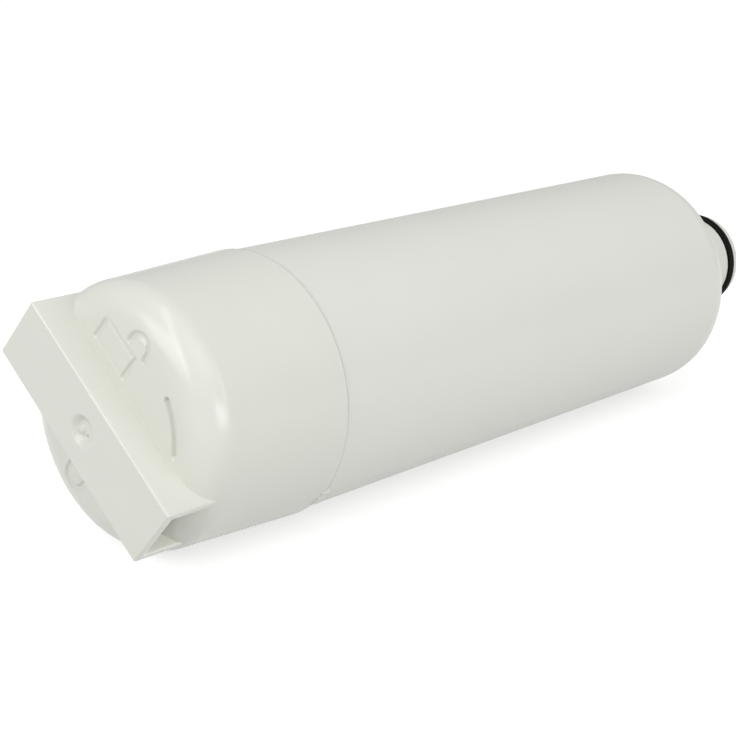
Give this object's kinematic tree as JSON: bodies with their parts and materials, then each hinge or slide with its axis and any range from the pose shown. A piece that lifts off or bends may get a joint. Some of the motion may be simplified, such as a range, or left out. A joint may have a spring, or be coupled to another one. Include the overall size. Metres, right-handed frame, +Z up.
{
  "type": "fridge water filter cartridge",
  "caption": "Round quarter-turn water filter cartridge with a tapered body, domed shoulder, sealed neck and a hollow twist bar across its end cap.",
  "frame": {"origin": "on the cartridge's axis, in the plane of the neck's end face", "axes": "+Y out of the neck along the axis, -Y out of the twist bar's face, +Z up as the cartridge lies on its side, with the bar turned 42 degrees about the axis as pictured"},
  "size_m": [0.066, 0.2468, 0.066],
  "materials": {
    "housing": "off-white moulded plastic, fine satin",
    "end_cap": "off-white moulded plastic, fine satin",
    "neck_seal": "black rubber",
    "outlet_plate": "white moulded plastic",
    "stem_seal": "black rubber",
    "outlet_bond": "set adhesive",
    "carbon_block": "pressed carbon, dull",
    "prefilter_wrap": "non-woven sleeve",
    "closed_bond": "set adhesive",
    "closed_plate": "white moulded plastic"
  },
  "bodies": {
    "root": {"housing": "housing", "lock_lugs": "housing", "end_cap": "end_cap", "neck_seal": "neck_seal", "outlet_plate": "outlet_plate", "stem_seal": "stem_seal", "outlet_bond": "outlet_bond", "carbon_block": "carbon_block", "prefilter_wrap": "prefilter_wrap", "closed_bond": "closed_bond", "closed_plate": "closed_plate"}
  },
  "joints": []
}
